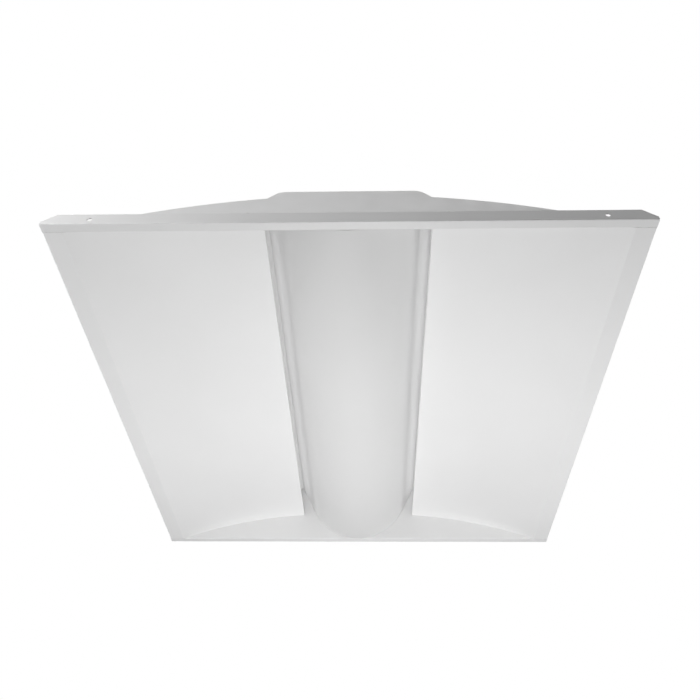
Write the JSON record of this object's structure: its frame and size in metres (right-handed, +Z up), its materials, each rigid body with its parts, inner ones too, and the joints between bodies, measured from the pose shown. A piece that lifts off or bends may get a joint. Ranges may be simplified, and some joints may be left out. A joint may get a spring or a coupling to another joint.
{
  "type": "recessed troffer light",
  "caption": "Square lay-in recessed ceiling light with two curved wing reflectors, a deep frosted lens along the middle, leaning end plates and an arched top.",
  "frame": {"origin": "centre of the square face, at ceiling level", "axes": "+Z up into the ceiling void, lens along Y, -Y is the end seen nearest in the picture"},
  "size_m": [0.603, 0.603, 0.1154],
  "materials": {
    "white_steel": "satin white powder coat",
    "reflector_white": "matte high-reflectance white paint",
    "galvanised": "galvanised steel, dull",
    "plated": "zinc plated",
    "lens": "frosted opal acrylic, switched off",
    "foam": "closed-cell foam strip",
    "aluminium": "plain mill finish",
    "board": "white solder mask",
    "led": "yellow phosphor, silicone",
    "driver_case": "white painted steel can",
    "connector": "moulded nylon",
    "lead": "stranded wire in plastic",
    "splice": "moulded cap",
    "ground": "green insulation",
    "grommet": "soft black rubber"
  },
  "bodies": {
    "housing": {"rear_end_plate": "white_steel", "front_end_plate": "white_steel", "right_wing_reflector": "reflector_white", "left_wing_reflector": "reflector_white", "right_back_pan": "white_steel", "left_back_pan": "white_steel", "right_lens_rail": "white_steel", "left_lens_rail": "white_steel", "right_lens_seal": "foam", "left_lens_seal": "foam", "lens": "lens", "driver_channel": "galvanised", "knockout_plug": "galvanised", "led_tray": "aluminium", "tray_grommet": "grommet", "left_led_board": "board", "left_leds": "led", "right_led_board": "board", "right_leds": "led", "board_plugs": "connector", "led_driver": "driver_case", "driver_terminals": "connector", "output_leads": "lead", "input_leads": "lead", "splice_connectors": "splice", "ground_lead": "ground", "hinge_leaves": "galvanised", "hinge_pins": "plated", "rear_right_clip_bracket": "galvanised", "rear_left_clip_bracket": "galvanised", "front_right_clip_bracket": "galvanised", "front_left_clip_bracket": "galvanised", "rear_right_hanger_tab": "galvanised", "rear_left_hanger_tab": "galvanised", "front_right_hanger_tab": "galvanised", "front_left_hanger_tab": "galvanised", "end_tab_rivets": "plated", "rail_rivets": "plated", "channel_screws": "plated", "tray_screws": "plated", "board_screws": "plated", "driver_screws": "plated", "ground_screw": "plated", "leaf_rivets": "plated", "latch_rivet": "plated", "clip_rivets": "plated", "bracket_rivets": "plated", "hanger_rivets": "plated"},
    "access_cover": {"access_cover": "galvanised"},
    "cover_latch": {"cover_latch": "galvanised"},
    "rear_right_grid_clip": {"rear_right_grid_clip": "galvanised"},
    "rear_left_grid_clip": {"rear_left_grid_clip": "galvanised"},
    "front_right_grid_clip": {"front_right_grid_clip": "galvanised"},
    "front_left_grid_clip": {"front_left_grid_clip": "galvanised"}
  },
  "joints": [
    {"name": "cover_hinge", "type": "hinge", "parent": "housing", "child": "access_cover", "pos_m": [-0.06, -0.045, 0.11272], "axis": [0, -1, 0], "range_deg": [0, 110]},
    {"name": "latch_turn", "type": "hinge", "parent": "housing", "child": "cover_latch", "pos_m": [0.0655, -0.045, 0.11142], "axis": [0, 0, 1], "range_deg": [0, 90]},
    {"name": "rear_right_clip_swing", "type": "hinge", "parent": "housing", "child": "rear_right_grid_clip", "pos_m": [0.275, 0.2015, 0.0403], "axis": [0, 0, 1], "range_deg": [0, 90]},
    {"name": "rear_left_clip_swing", "type": "hinge", "parent": "housing", "child": "rear_left_grid_clip", "pos_m": [-0.275, 0.2015, 0.0403], "axis": [0, 0, -1], "range_deg": [0, 90]},
    {"name": "front_right_clip_swing", "type": "hinge", "parent": "housing", "child": "front_right_grid_clip", "pos_m": [0.275, -0.2015, 0.0403], "axis": [0, 0, -1], "range_deg": [0, 90]},
    {"name": "front_left_clip_swing", "type": "hinge", "parent": "housing", "child": "front_left_grid_clip", "pos_m": [-0.275, -0.2015, 0.0403], "axis": [0, 0, 1], "range_deg": [0, 90]}
  ]
}
